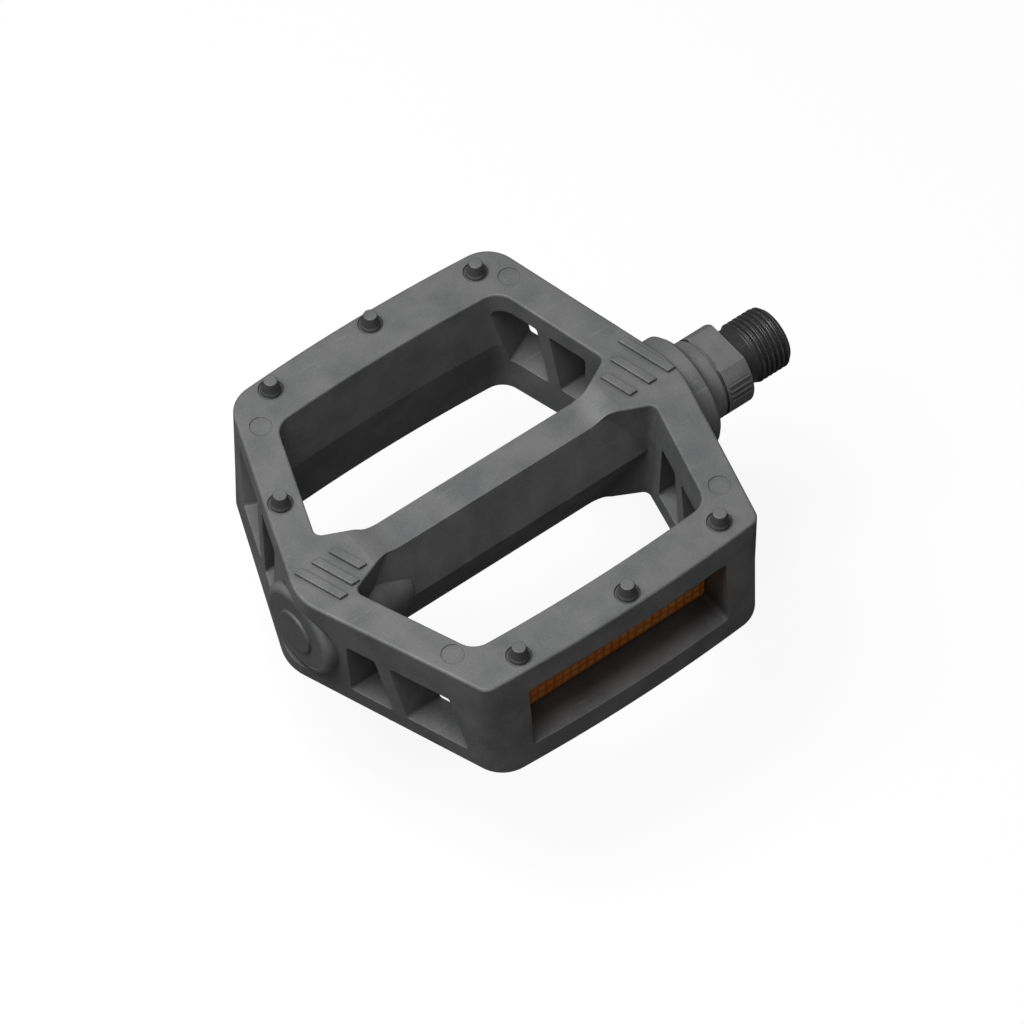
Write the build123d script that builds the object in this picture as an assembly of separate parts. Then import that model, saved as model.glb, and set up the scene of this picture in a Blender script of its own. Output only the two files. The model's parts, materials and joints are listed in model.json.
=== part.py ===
"""Reversible flat platform pedal, left side, as separate parts.

Axes: +Y runs along the spindle toward the crank, +X toward the front edge, +Z up.
Origin: on the spindle axis, at the shoulder that seats against the crank.
All sizes are in millimetres.
"""
import os
from math import cos, pi, radians, sin

from build123d import *

# ---------------------------------------------------------------- platform plan
half_thickness = 14.9        # mid plane to the tread face
rear_reach = 47.7            # spindle axis to the rear edge, at the tread face
front_reach = 44.8           # spindle axis to the front edge, at the tread face
rail_bow = 1.4               # middle of an edge stands out past its corners by this
parting_bulge = 0.45         # draft: extra reach at the mid plane
corner_inboard_y = -27.1     # sharp corner of an edge and an inboard arm
corner_rear_y = -94.7        # sharp corner of the rear edge and its outboard arm
corner_front_y = -96.7       # sharp corner of the front edge and its outboard arm
apex_inboard_y = -15.6       # sharp inboard point of the outline
apex_outboard_y = -113.1     # sharp outboard point of the outline
apex_skew = 2.6              # both points sit this far forward on the tread face
rear_corner_radius = 7.6
front_corner_radius = 2.7
inboard_apex_radius = 22.0
outboard_apex_radius = 11.0
edge_round = 0.6             # rounding all round the tread faces

# ---------------------------------------------------------------- windows
rear_rail_width = 11.5
front_rail_width = 10.1
rail_ridge = 0.9             # extra rail width at the mid plane, where the inner walls meet
inboard_arm_width = 8.9      # arm widths are measured along the spindle
outboard_arm_width = 8.4
barrel_flat_half = 3.7       # half width of the flat strip along the barrel
window_gusset_x = 4.2        # a gusset runs this far out along its arm
gusset_inboard_y = -35.0     # where a gusset lands on the barrel
gusset_outboard_y = -91.8
window_bow = 1.0
window_corner_radius = 4.8
gusset_radius = 1.7
window_round = 0.45          # rounding round the window mouths

# ---------------------------------------------------------------- barrel
barrel_dip = 1.7             # the barrel strip lies this far below the tread face
barrel_half_width = 7.7      # at the mid plane
dip_inboard_y = -31.6        # where the strip starts to drop away from the arms
dip_outboard_y = -96.0
dip_ramp = 8.0
inboard_boss_radius = 13.1
inboard_boss_length = 13.4
inboard_boss_end_y = -11.5
outboard_boss_radius = 10.6
outboard_boss_length = 9.5
outboard_boss_end_y = -111.9
outboard_boss_round = 1.4
outboard_flare_length = 8.0
inboard_boss_chamfer = 0.8
end_groove = 0.5             # gap between the outboard boss and the arms round it
end_groove_depth = 1.9
bearing_wall = 1.4           # least plastic outside the outer cup
spindle_bore_radius = 6.0

# ---------------------------------------------------------------- moulded pins
pin_height = 3.1
pin_base_radius = 2.15
pin_tip_radius = 1.45
pin_tip_round = 0.3
pin_moat_width = 0.55        # shallow ring moulded round each pin
pin_moat_depth = 0.35
pin_inboard_y = -34.1
pin_middle_y = -59.7
pin_outboard_y = -86.1
pin_inboard_inset = 5.7      # pin centres, in from the reach of their edge
pin_middle_inset = 3.3
pin_outboard_inset = 4.5
arm_pin_x = -18.6
arm_pin_inset_y = 3.5

# ---------------------------------------------------------------- raised bars
bar_height = 0.7
bar_width_y = 2.0
bar_pitch_y = 5.0
bar_round = 0.23
inboard_bar_y = -18.8        # outboard long side of the first bar at its front end
inboard_bar_slope = 0.26
inboard_bar_front_x = 3.2
inboard_bar_lengths = (12.4, 9.6, 7.3)
outboard_bar_y = -101.2      # outboard long side of the first bar at its rear end
outboard_bar_slope = 0.337
outboard_bar_rear_x = -2.7
outboard_bar_lengths = (7.0, 9.3, 10.6)

# ---------------------------------------------------------------- witness marks
mark_radius = 2.4
mark_depth = 0.2
mark_rear_inset = 10.9       # in from the edge, across the spindle
mark_front_inset = 12.8
mark_inboard_inset = 4.4     # in from the outer face of the arm, along the spindle
mark_outboard_inset = 5.0

# ---------------------------------------------------------------- reflector recess
recess_length = 50.5
recess_middle_y = -61.9
recess_half_height = 8.8
recess_depth = 10.1          # from the edge, at the mid plane, to the recess floor
recess_corner_radius = 1.2
backing_thickness = 0.6
lens_thickness = 1.3
lens_gap = 0.12              # slack between a lens and the recess walls

# ---------------------------------------------------------------- arm pockets
pocket_roof = 5.7            # front arms: pocket roof above the mid plane
pocket_floor = 10.0          # front arms: pocket floor below the mid plane
pocket_start_x = 12.6
pocket_first_width = 6.3
pocket_strut = 3.1
pocket_second_width = 13.3
pocket_lean = 3.2            # a strut foot lies this far further out than its head
pocket_heel = 4.6            # how far the outer end of the second pocket leans
pocket_round = 0.8
pocket_outside = 9.0         # how far a pocket cut reaches out past the arm's corner end
pocket_inside = 12.0         # and how far it reaches in
pocket_end_slant = 0.46      # the second pocket narrows inward by this much per length

# ---------------------------------------------------------------- spindle
thread_radius = 7.144        # nine sixteenths of an inch, major diameter
thread_length = 12.2
thread_chamfer = 0.8
collar_radius = 9.2
collar_end_y = -14.4
wrench_flat_half = 7.5
wrench_length = 6.5
groove_depth = 0.5
groove_width = 0.7
race_shoulder_radius = 7.2
shaft_inboard_radius = 5.1
shaft_outboard_radius = 4.2
taper_start_y = -30.0
taper_end_y = -88.0
tail_radius = 3.2
tail_length = 9.6
keyway_width = 2.0
keyway_depth = 0.8
knurl_ridges = 4
knurl_height = 0.18
knurl_width = 0.45
knurl_pitch_deg = 8.0
knurl_start_deg = 30.0
knurl_end_gap = 0.5          # a ridge stops this far short of each end of the flats

# ---------------------------------------------------------------- bearings
inner_ball_radius = 1.984    # five thirty-seconds of an inch across
inner_ball_count = 11
inner_pitch_radius = 7.6
inner_ball_y = -19.0
outer_ball_radius = 1.588    # one eighth of an inch across
outer_ball_count = 11
outer_pitch_radius = 5.6
outer_ball_y = -100.0
race_clearance = 0.03
cup_wall = 0.9
cup_floor = 1.3
inner_cup_lip_radius = 6.4
outer_cup_lip_radius = 4.9
cup_skirt = 2.2              # the cup carries on this far past the ball centres

# ---------------------------------------------------------------- dust seal
seal_length = 3.4
seal_stand_out = 0.9
seal_rim_radius = 10.2
seal_rim_chamfer = 0.3
seal_clearance = 0.05

# ---------------------------------------------------------------- outboard hardware
cone_length = 5.0
cone_hex_length = 2.2
cone_hex_across = 9.6
washer_thickness = 1.0
washer_radius = 5.6
tab_root = 1.0               # the tab runs this far out into the washer
nut_height = 3.4
nut_across_flats = 10.0
nut_corner_radius = 5.6
nut_chamfer = 0.6
thread_slack = 0.03
cap_rim_radius = 8.7
cap_rim_thickness = 0.4
cap_seat_clearance = 0.05    # slack round the cap rim, which lies flush in the boss
cap_button_radius = 5.0
cap_button_height = 0.6
cap_button_round = 0.35
cap_plug_length = 1.6
cap_plug_wall = 1.1

# ---------------------------------------------------------------- derived sizes
mid_reach = (rear_reach + front_reach) / 2 + parting_bulge
recess_floor_x = mid_reach - recess_depth
mid_corner_y = (corner_rear_y + corner_front_y) / 2
mid_rail_width = (rear_rail_width + front_rail_width) / 2 + 2 * parting_bulge + rail_ridge
strip_z = half_thickness - barrel_dip
inner_cup_radius = inner_pitch_radius + inner_ball_radius + race_clearance + cup_wall
outer_cup_radius = outer_pitch_radius + outer_ball_radius + race_clearance + cup_wall
inner_cup_back_y = inner_ball_y - inner_ball_radius - race_clearance - cup_floor
outer_cup_back_y = outer_ball_y + outer_ball_radius + race_clearance + cup_floor
cone_back_y = outer_ball_y - cone_length
cap_seat_y = outboard_boss_end_y + cap_rim_thickness
washer_back_y = cone_back_y - washer_thickness
nut_back_y = washer_back_y - nut_height


def turned(shape):
    """The same shape turned half a turn about the spindle axis."""
    return Rot(0, 180, 0) * shape


def both_faces(shape):
    """A shape together with its half-turned copy."""
    return [shape, turned(shape)]


def along_y(radius, start_y, end_y):
    """Round bar on the spindle axis between two Y positions."""
    middle = (start_y + end_y) / 2
    return Pos(0, middle, 0) * Rot(90, 0, 0) * Cylinder(radius, abs(end_y - start_y))


def hex_along_y(across, start_y, end_y):
    """Hexagonal bar on the spindle axis between two Y positions."""
    outline = RegularPolygon(across / 2, 6, major_radius=False)
    bar = prism(outline, abs(end_y - start_y))
    return Pos(0, max(start_y, end_y), 0) * Rot(90, 0, 0) * bar


def prism(outline, depth):
    """Straight solid standing up from a flat outline on the XY plane."""
    return extrude(outline, depth, dir=(0, 0, 1))


def facing_x(outline, depth, start_x, y):
    """Straight solid that grows along +X from an outline given in Y and Z."""
    return Pos(start_x, y, 0) * (Plane.YZ * prism(outline, depth))


def ring_of_balls(count, pitch_radius, ball_radius, y):
    """Balls evenly spaced round the spindle axis."""
    balls = []
    for index in range(count):
        angle = 2 * pi * index / count
        centre = Pos(pitch_radius * cos(angle), y, pitch_radius * sin(angle))
        balls.append(centre * Sphere(ball_radius))
    return balls


def ball_track(pitch_radius, ball_radius, y):
    """Ring-shaped space swept by the balls, with their running clearance."""
    return Pos(0, y, 0) * Rot(90, 0, 0) * Torus(pitch_radius, ball_radius + race_clearance)


def bowed_outline(points, bow_index, bow):
    """Closed outline through the points; the numbered sides bow outward in X."""
    edges = []
    for index, start in enumerate(points):
        end = points[(index + 1) % len(points)]
        if index in bow_index:
            side = 1 if start[0] > 0 else -1
            middle = ((start[0] + end[0]) / 2 + side * bow, (start[1] + end[1]) / 2)
            edges.append(ThreePointArc(start, middle, end))
        else:
            edges.append(Line(start, end))
    return make_face(edges)


def round_corners(face, rounds):
    """Round the given corners of a face, each with its own radius."""
    for point, radius in rounds:
        spot = Vector(point[0], point[1], 0)
        face = fillet(face.vertices().sort_by_distance(spot)[0], radius)
    return face


def plate_outline(rear, front, rear_y, front_y, skew, front_radius):
    """Outline of the platform at one height."""
    points = [
        (front - rail_bow, corner_inboard_y),
        (skew, apex_inboard_y),
        (-(rear - rail_bow), corner_inboard_y),
        (-(rear - rail_bow), rear_y),
        (skew, apex_outboard_y),
        (front - rail_bow, front_y),
    ]
    radii = [
        front_radius,
        inboard_apex_radius,
        rear_corner_radius,
        rear_corner_radius,
        outboard_apex_radius,
        front_radius,
    ]
    return round_corners(bowed_outline(points, (2, 5), rail_bow), list(zip(points, radii)))


def arm_face_y(x, corner_x, corner_y, skew, apex_y):
    """Y of an arm's straight outer face at a given X."""
    share = (x - skew) / (corner_x - skew)
    return apex_y + share * (corner_y - apex_y)


def window_outline(side, reach, rail, outboard_corner_y, skew):
    """Outline of one window; side is 1 for the front window, -1 for the rear one."""
    far_x = side * (reach - rail - window_bow)
    near_x = side * (barrel_flat_half + window_gusset_x)
    corner_x = side * (reach - rail_bow)
    points = []
    for x in (far_x, near_x):
        outer = arm_face_y(x, corner_x, corner_inboard_y, skew, apex_inboard_y)
        points.append((x, outer - inboard_arm_width))
    points.append((side * barrel_flat_half, gusset_inboard_y))
    points.append((side * barrel_flat_half, gusset_outboard_y))
    for x in (near_x, far_x):
        outer = arm_face_y(x, corner_x, outboard_corner_y, skew, apex_outboard_y)
        points.append((x, outer + outboard_arm_width))
    radii = [
        window_corner_radius,
        gusset_radius,
        2 * gusset_radius,
        2 * gusset_radius,
        gusset_radius,
        window_corner_radius,
    ]
    return round_corners(bowed_outline(points, (5,), window_bow), list(zip(points, radii)))


def lofted(lower, upper, height):
    """Straight-sided solid from an outline on the mid plane to one at the given height."""
    return loft([lower.face(), (Pos(0, 0, height) * upper).face()], ruled=True)


def plate_half():
    """Upper half of the platform, from the mid plane to the tread face."""
    mid = plate_outline(mid_reach, mid_reach, mid_corner_y, mid_corner_y, 0, rear_corner_radius)
    top = plate_outline(
        rear_reach, front_reach, corner_rear_y, corner_front_y, apex_skew, front_corner_radius
    )
    half = lofted(mid, top, half_thickness)
    half = fillet(half.faces().sort_by(Axis.Z)[-1].edges(), edge_round)
    rear = (-1, rear_reach, rear_rail_width, corner_rear_y)
    front = (1, front_reach, front_rail_width, corner_front_y)
    for side, reach, rail, corner_y in (rear, front):
        lower = window_outline(side, mid_reach, mid_rail_width, mid_corner_y, 0)
        upper = window_outline(side, reach, rail, corner_y, apex_skew)
        half -= lofted(lower, upper, half_thickness)
    mouths = half.faces().filter_by(Plane.XY).sort_by(Axis.Z)[-1].inner_wires()
    return fillet([edge for wire in mouths for edge in wire.edges()], window_round)


def barrel():
    """Six-sided barrel between the windows, with a round boss at each end."""
    start = apex_inboard_y - inboard_arm_width / 2
    end = apex_outboard_y + outboard_arm_width
    outline = Polygon(
        (barrel_flat_half, strip_z),
        (barrel_half_width, 0),
        (barrel_flat_half, -strip_z),
        (-barrel_flat_half, -strip_z),
        (-barrel_half_width, 0),
        (-barrel_flat_half, strip_z),
        align=None,
    )
    body = Pos(0, start, 0) * Rot(90, 0, 0) * prism(outline, start - end)
    inboard = along_y(inboard_boss_radius, inboard_boss_end_y, inboard_boss_end_y - inboard_boss_length)
    return body + chamfer(inboard.faces().sort_by(Axis.Y)[-1].edges(), inboard_boss_chamfer)


def outboard_boss():
    """Round boss round the outer bearing, with a flare that grows out of the barrel."""
    root_y = outboard_boss_end_y + outboard_boss_length
    boss = along_y(outboard_boss_radius, outboard_boss_end_y, root_y)
    boss = fillet(boss.faces().sort_by(Axis.Y)[0].edges(), outboard_boss_round)
    housing_radius = outer_cup_radius + bearing_wall
    flare_end_y = outer_cup_back_y + bearing_wall
    boss += along_y(housing_radius, root_y, flare_end_y)
    flare = Cone(barrel_half_width, housing_radius, outboard_flare_length)
    return boss + Pos(0, flare_end_y + outboard_flare_length / 2, 0) * Rot(90, 0, 0) * flare


def strip_relief():
    """Shallow trough that sets the barrel strip below the upper tread face."""
    above = half_thickness + barrel_dip / 50
    top = half_thickness + barrel_dip
    corners = [
        (dip_inboard_y, above),
        (dip_inboard_y - dip_ramp, strip_z),
        (dip_outboard_y + dip_ramp, strip_z),
        (dip_outboard_y, above),
    ]
    level = [(-1, 0), (-1, 0)]
    outline = make_face([
        Spline(corners[0], corners[1], tangents=level),
        Line(corners[1], corners[2]),
        Spline(corners[2], corners[3], tangents=level),
        Line(corners[3], (dip_outboard_y, top)),
        Line((dip_outboard_y, top), (dip_inboard_y, top)),
        Line((dip_inboard_y, top), corners[0]),
    ])
    reach = barrel_flat_half + window_gusset_x + gusset_radius
    return facing_x(outline, 2 * reach, -reach, 0)


def bearing_bores():
    """Space for the seal, both cups, the spindle, the outboard hardware and the cap."""
    inner = along_y(inner_cup_radius, inboard_boss_end_y + 1, inner_cup_back_y)
    outer = along_y(outer_cup_radius, outboard_boss_end_y - 1, outer_cup_back_y)
    middle = along_y(spindle_bore_radius, inner_cup_back_y + 1, outer_cup_back_y - 1)
    cap_seat = along_y(cap_rim_radius + cap_seat_clearance, outboard_boss_end_y - 1, cap_seat_y)
    return [inner, middle, outer, cap_seat]


def pin(x, y):
    """One tapered pin standing on the upper tread face, rooted below its moat."""
    peg = Pos(x, y, half_thickness + pin_height / 2) * Cone(pin_base_radius, pin_tip_radius, pin_height)
    peg = fillet(peg.faces().sort_by(Axis.Z)[-1].edges(), pin_tip_round)
    root = Pos(x, y, half_thickness - pin_moat_depth) * Cylinder(pin_base_radius, 2 * pin_moat_depth)
    return peg + root


def pin_moat(x, y):
    """Shallow ring cut round a pin, pin seat included."""
    return Pos(x, y, half_thickness) * Cylinder(pin_base_radius + pin_moat_width, 2 * pin_moat_depth)


def pin_places():
    """Centres of the seven pins of the upper face."""
    rows = (
        (pin_inboard_y, pin_inboard_inset),
        (pin_middle_y, pin_middle_inset),
        (pin_outboard_y, pin_outboard_inset),
    )
    result = []
    for y, inset in rows:
        result.append((inset - rear_reach, y))
        result.append((front_reach - inset, y))
    corner_x = rail_bow - rear_reach
    outer = arm_face_y(arm_pin_x, corner_x, corner_rear_y, apex_skew, apex_outboard_y)
    result.append((arm_pin_x, outer + arm_pin_inset_y))
    return result


def bar(x, y, length, slope):
    """One raised bar; (x, y) is the rear end of its outboard long side."""
    outline = Polygon(
        (x, y),
        (x + length, y + slope * length),
        (x + length, y + slope * length + bar_width_y),
        (x, y + bar_width_y),
        align=None,
    )
    solid = Pos(0, 0, half_thickness - bar_height) * prism(outline, 2 * bar_height)
    return fillet(solid.faces().sort_by(Axis.Z)[-1].edges(), bar_round)


def bars():
    """Three raised bars beside each end of the barrel."""
    result = []
    for index, length in enumerate(inboard_bar_lengths):
        rear_x = inboard_bar_front_x - length
        rear_y = inboard_bar_y - index * bar_pitch_y - inboard_bar_slope * length
        result.append(bar(rear_x, rear_y, length, inboard_bar_slope))
    for index, length in enumerate(outboard_bar_lengths):
        rear_y = outboard_bar_y - index * (bar_pitch_y - bar_height)
        result.append(bar(outboard_bar_rear_x, rear_y, length, outboard_bar_slope))
    return result


def witness_marks():
    """Shallow round marks near the four corners of the upper face."""
    spots = []
    for side, inset, reach, corner_y in (
        (-1, mark_rear_inset, rear_reach, corner_rear_y),
        (1, mark_front_inset, front_reach, corner_front_y),
    ):
        x = reach - inset
        corner_x = side * (reach - rail_bow)
        near = arm_face_y(side * x, corner_x, corner_inboard_y, apex_skew, apex_inboard_y)
        far = arm_face_y(side * x, corner_x, corner_y, apex_skew, apex_outboard_y)
        spots.append((side * x, near - mark_inboard_inset))
        spots.append((side * x, far + mark_outboard_inset))
    return [Pos(x, y, half_thickness) * Cylinder(mark_radius, 2 * mark_depth) for x, y in spots]


def recess():
    """Space for the reflector in the front edge."""
    outline = RectangleRounded(recess_length, 2 * recess_half_height, recess_corner_radius)
    return facing_x(outline, rear_reach, recess_floor_x, recess_middle_y)


def first_pocket():
    """Outline, in X and Z, of the pocket beside the barrel."""
    outline = Polygon(
        (pocket_start_x, pocket_roof),
        (pocket_start_x + pocket_first_width, pocket_roof),
        (pocket_start_x + pocket_first_width + pocket_lean, -pocket_floor),
        (pocket_start_x, -pocket_floor),
        align=None,
    )
    return fillet(outline.vertices(), pocket_round)


def second_pocket(end_shift):
    """Outline, in X and Z, of the pocket beside the rail, its outer end moved by end_shift."""
    start_x = pocket_start_x + pocket_first_width + pocket_strut
    end_x = start_x + pocket_second_width + end_shift
    outline = Polygon(
        (start_x, pocket_roof),
        (end_x, pocket_roof),
        (end_x + pocket_heel, -pocket_floor),
        (start_x + pocket_lean, -pocket_floor),
        align=None,
    )
    return fillet(outline.vertices(), pocket_round)


def pocket_cut(outer, inner, outer_y, inner_y):
    """Solid between an outline outside an arm and one inside it."""
    ends = [Pos(0, y, 0) * Rot(90, 0, 0) * face for y, face in ((outer_y, outer), (inner_y, inner))]
    return loft([end.face() for end in ends], ruled=True)


def arm_pockets():
    """Pockets through both front arms, each pair leaving one leaning strut."""
    end_x = pocket_start_x + pocket_first_width + pocket_strut + pocket_second_width
    corner_x = front_reach - rail_bow
    inboard_y = arm_face_y(end_x, corner_x, corner_inboard_y, apex_skew, apex_inboard_y)
    outboard_y = arm_face_y(end_x, corner_x, corner_front_y, apex_skew, apex_outboard_y)
    result = []
    for outside, face_y in ((1, inboard_y), (-1, outboard_y)):
        outer_y = face_y + outside * pocket_outside
        inner_y = face_y - outside * pocket_inside
        wide = second_pocket(pocket_end_slant * pocket_outside)
        narrow = second_pocket(-pocket_end_slant * pocket_inside)
        result.append(pocket_cut(first_pocket(), first_pocket(), outer_y, inner_y))
        result.append(pocket_cut(wide, narrow, outer_y, inner_y))
    return result


def platform_body():
    """One-piece moulded platform."""
    half = plate_half()
    body = half + turned(half)
    groove_floor_y = outboard_boss_end_y + end_groove_depth
    body -= along_y(outboard_boss_radius + end_groove, apex_outboard_y - 1, groove_floor_y)
    body += [barrel(), outboard_boss()]
    places = pin_places()
    cuts = [strip_relief(), recess()] + arm_pockets() + witness_marks()
    cuts += [pin_moat(x, y) for x, y in places]
    for shape in cuts:
        body -= both_faces(shape)
    for shape in [pin(x, y) for x, y in places] + bars():
        body += both_faces(shape)
    return body - bearing_bores()


def spindle():
    """Forged spindle: crank thread, wrench collar, bearing shoulder and threaded tail."""
    tail_end = cone_back_y - tail_length + cone_length
    thread = along_y(thread_radius, 0, thread_length)
    thread = chamfer(thread.faces().sort_by(Axis.Y)[-1].edges(), thread_chamfer)
    collar = along_y(collar_radius, 0, collar_end_y)
    flats = Pos(0, -wrench_length / 2, 0) * Box(
        2 * collar_radius, wrench_length, 2 * wrench_flat_half
    )
    head = along_y(collar_radius, 0, -wrench_length) & flats
    groove_end = -wrench_length - groove_width
    groove = along_y(collar_radius + 1, -wrench_length, groove_end)
    groove -= along_y(collar_radius - groove_depth, 0, collar_end_y)
    collar -= along_y(collar_radius + 1, 1, -wrench_length)
    body = thread + head + (collar - groove)
    body += along_y(race_shoulder_radius, collar_end_y, inner_ball_y)
    body += along_y(shaft_inboard_radius, collar_end_y, taper_start_y)
    taper_length = taper_start_y - taper_end_y
    taper = Cone(shaft_inboard_radius, shaft_outboard_radius, taper_length)
    body += Pos(0, (taper_start_y + taper_end_y) / 2, 0) * Rot(90, 0, 0) * taper
    body += along_y(shaft_outboard_radius, taper_end_y, outer_cup_back_y + 1)
    body += along_y(tail_radius, outer_cup_back_y + 1, tail_end)
    body -= ball_track(inner_pitch_radius, inner_ball_radius, inner_ball_y)
    slot_length = cone_back_y - tail_end
    slot = Box(keyway_width, slot_length, 2 * keyway_depth)
    body -= Pos(0, cone_back_y - slot_length / 2, tail_radius) * slot
    for index in range(knurl_ridges):
        angle = knurl_start_deg - index * knurl_pitch_deg
        reach = collar_radius + knurl_height / 2
        ridge = Box(2 * knurl_height, wrench_length - 2 * knurl_end_gap, knurl_width)
        spot = Pos(reach * cos(radians(angle)), -wrench_length / 2, reach * sin(radians(angle)))
        body += spot * Rot(0, -angle, 0) * ridge
    return body


def bearing_cup(ball_y, back_y, cup_radius, lip_radius, pitch_radius, ball_radius):
    """Pressed bearing cup; it opens toward its own end of the spindle."""
    way = 1 if ball_y > back_y else -1
    front_y = ball_y + way * cup_skirt
    cup = along_y(cup_radius, front_y, back_y)
    cup -= along_y(cup_radius - cup_wall, front_y + way, ball_y)
    cup -= along_y(lip_radius, front_y + way, back_y - way)
    return cup - ball_track(pitch_radius, ball_radius, ball_y)


def inner_bearing_cup():
    """Cup beside the crank."""
    return bearing_cup(
        inner_ball_y, inner_cup_back_y, inner_cup_radius,
        inner_cup_lip_radius, inner_pitch_radius, inner_ball_radius,
    )


def outer_bearing_cup():
    """Cup at the far end of the spindle."""
    return bearing_cup(
        outer_ball_y, outer_cup_back_y, outer_cup_radius,
        outer_cup_lip_radius, outer_pitch_radius, outer_ball_radius,
    )


def adjusting_cone():
    """Threaded cone that sets the play of the outer bearing."""
    cone = along_y(outer_pitch_radius, outer_ball_y, cone_back_y + cone_hex_length)
    cone += hex_along_y(cone_hex_across, cone_back_y + cone_hex_length, cone_back_y)
    cone -= ball_track(outer_pitch_radius, outer_ball_radius, outer_ball_y)
    return cone - along_y(tail_radius + thread_slack, outer_ball_y + 1, cone_back_y - 1)


def lock_washer():
    """Washer with a tab that lies in the spindle keyway."""
    washer = along_y(washer_radius, cone_back_y, washer_back_y)
    washer -= along_y(tail_radius + thread_slack, cone_back_y + 1, washer_back_y - 1)
    tab_top = tail_radius + tab_root
    tab_floor = tail_radius - keyway_depth + 2 * thread_slack
    tab = Box(keyway_width - 4 * thread_slack, washer_thickness, tab_top - tab_floor)
    return washer + Pos(0, cone_back_y - washer_thickness / 2, (tab_top + tab_floor) / 2) * tab


def lock_nut():
    """Nut that locks the cone."""
    nut = hex_along_y(nut_across_flats, washer_back_y, nut_back_y)
    corner_round = along_y(nut_corner_radius, washer_back_y, nut_back_y)
    corner_round = chamfer(corner_round.faces().sort_by(Axis.Y)[0].edges(), nut_chamfer)
    return (nut & corner_round) - along_y(tail_radius + thread_slack, washer_back_y + 1, nut_back_y - 1)


def end_cap():
    """Press-in dust cap, flush with the boss, with a low round button in its middle."""
    cap = along_y(cap_rim_radius, outboard_boss_end_y, cap_seat_y)
    button = along_y(cap_button_radius, cap_seat_y, outboard_boss_end_y - cap_button_height)
    cap += fillet(button.faces().sort_by(Axis.Y)[0].edges(), cap_button_round)
    plug_end_y = cap_seat_y + cap_plug_length
    plug = along_y(outer_cup_radius, cap_seat_y, plug_end_y)
    plug -= along_y(outer_cup_radius - cap_plug_wall, cap_seat_y, plug_end_y)
    return cap + plug


def dust_seal():
    """Rubber ring that closes the gap between the spindle collar and the platform."""
    rim_y = inboard_boss_end_y + seal_stand_out
    back_y = inboard_boss_end_y - seal_length
    seal = along_y(inner_cup_radius, inboard_boss_end_y, back_y)
    lip = along_y(seal_rim_radius, rim_y, inboard_boss_end_y)
    seal += chamfer(lip.faces().sort_by(Axis.Y)[-1].edges(), seal_rim_chamfer)
    return seal - along_y(collar_radius + seal_clearance, rim_y + 1, back_y - 1)


def reflector_plate(start_x, thickness):
    """Flat piece that fills the front recess from start_x outward."""
    length = recess_length - 2 * lens_gap
    height = 2 * (recess_half_height - lens_gap)
    outline = RectangleRounded(length, height, recess_corner_radius - lens_gap)
    return facing_x(outline, thickness, start_x, recess_middle_y)


def reflector_backing():
    """White backing sheet glued to the recess floor."""
    return reflector_plate(recess_floor_x, backing_thickness)


def reflector_lens():
    """Amber lens on the backing."""
    return reflector_plate(recess_floor_x + backing_thickness, lens_thickness)


def as_group(shapes):
    """Several separate solids in one named part."""
    return Compound(children=[shape if isinstance(shape, Solid) else shape.solid() for shape in shapes])


inner_balls = ring_of_balls(inner_ball_count, inner_pitch_radius, inner_ball_radius, inner_ball_y)
outer_balls = ring_of_balls(outer_ball_count, outer_pitch_radius, outer_ball_radius, outer_ball_y)

parts = {
    "platform_body": platform_body(),
    "spindle": spindle(),
    "inner_bearing_cup": inner_bearing_cup(),
    "inner_bearing_balls": as_group(inner_balls),
    "outer_bearing_cup": outer_bearing_cup(),
    "outer_bearing_balls": as_group(outer_balls),
    "adjusting_cone": adjusting_cone(),
    "lock_washer": lock_washer(),
    "lock_nut": lock_nut(),
    "end_cap": end_cap(),
    "dust_seal": dust_seal(),
    "front_reflector_backing": reflector_backing(),
    "front_reflector_lens": reflector_lens(),
    "rear_reflector_backing": turned(reflector_backing()),
    "rear_reflector_lens": turned(reflector_lens()),
}

os.makedirs("parts", exist_ok=True)
for name, shape in parts.items():
    export_step(shape, f"parts/{name}.step")
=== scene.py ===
"""Looks for a reversible flat pedal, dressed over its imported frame.

The frame gives every position; lengths are metres, +Y runs along the spindle toward the crank.
"""

import json
import logging
import math
from dataclasses import dataclass, field
from enum import Enum

import bmesh
import bpy
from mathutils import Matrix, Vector


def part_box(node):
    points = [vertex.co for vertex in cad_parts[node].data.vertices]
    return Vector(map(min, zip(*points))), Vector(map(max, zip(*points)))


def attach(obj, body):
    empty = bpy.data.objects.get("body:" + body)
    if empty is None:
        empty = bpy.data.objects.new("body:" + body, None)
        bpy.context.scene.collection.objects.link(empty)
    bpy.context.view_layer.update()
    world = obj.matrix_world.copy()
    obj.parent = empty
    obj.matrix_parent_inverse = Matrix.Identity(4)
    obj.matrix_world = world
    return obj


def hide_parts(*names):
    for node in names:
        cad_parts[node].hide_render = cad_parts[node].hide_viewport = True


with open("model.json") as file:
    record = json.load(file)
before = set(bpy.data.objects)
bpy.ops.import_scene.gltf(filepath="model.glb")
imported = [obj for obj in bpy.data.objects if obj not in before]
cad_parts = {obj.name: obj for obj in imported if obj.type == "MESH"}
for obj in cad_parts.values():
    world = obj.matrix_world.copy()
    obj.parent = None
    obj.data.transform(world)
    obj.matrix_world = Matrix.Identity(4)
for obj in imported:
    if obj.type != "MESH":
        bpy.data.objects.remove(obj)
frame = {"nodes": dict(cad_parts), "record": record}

MM = 0.001
PRISM_PITCH = 2.1 * MM
SHADER_SAMPLES = 6
LOG = logging.getLogger("pedal")
Colour = tuple[float, float, float]


class Body(Enum):
    """Rigid bodies that made pieces ride on."""

    AXLE = "axle"
    PLATFORM = "platform"


class Edge(Enum):
    """The two long edges of the platform that carry a reflector."""

    FRONT = "front"
    REAR = "rear"


class Hand(Enum):
    """Direction of a helical thread."""

    LEFT = -1
    RIGHT = 1


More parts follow.
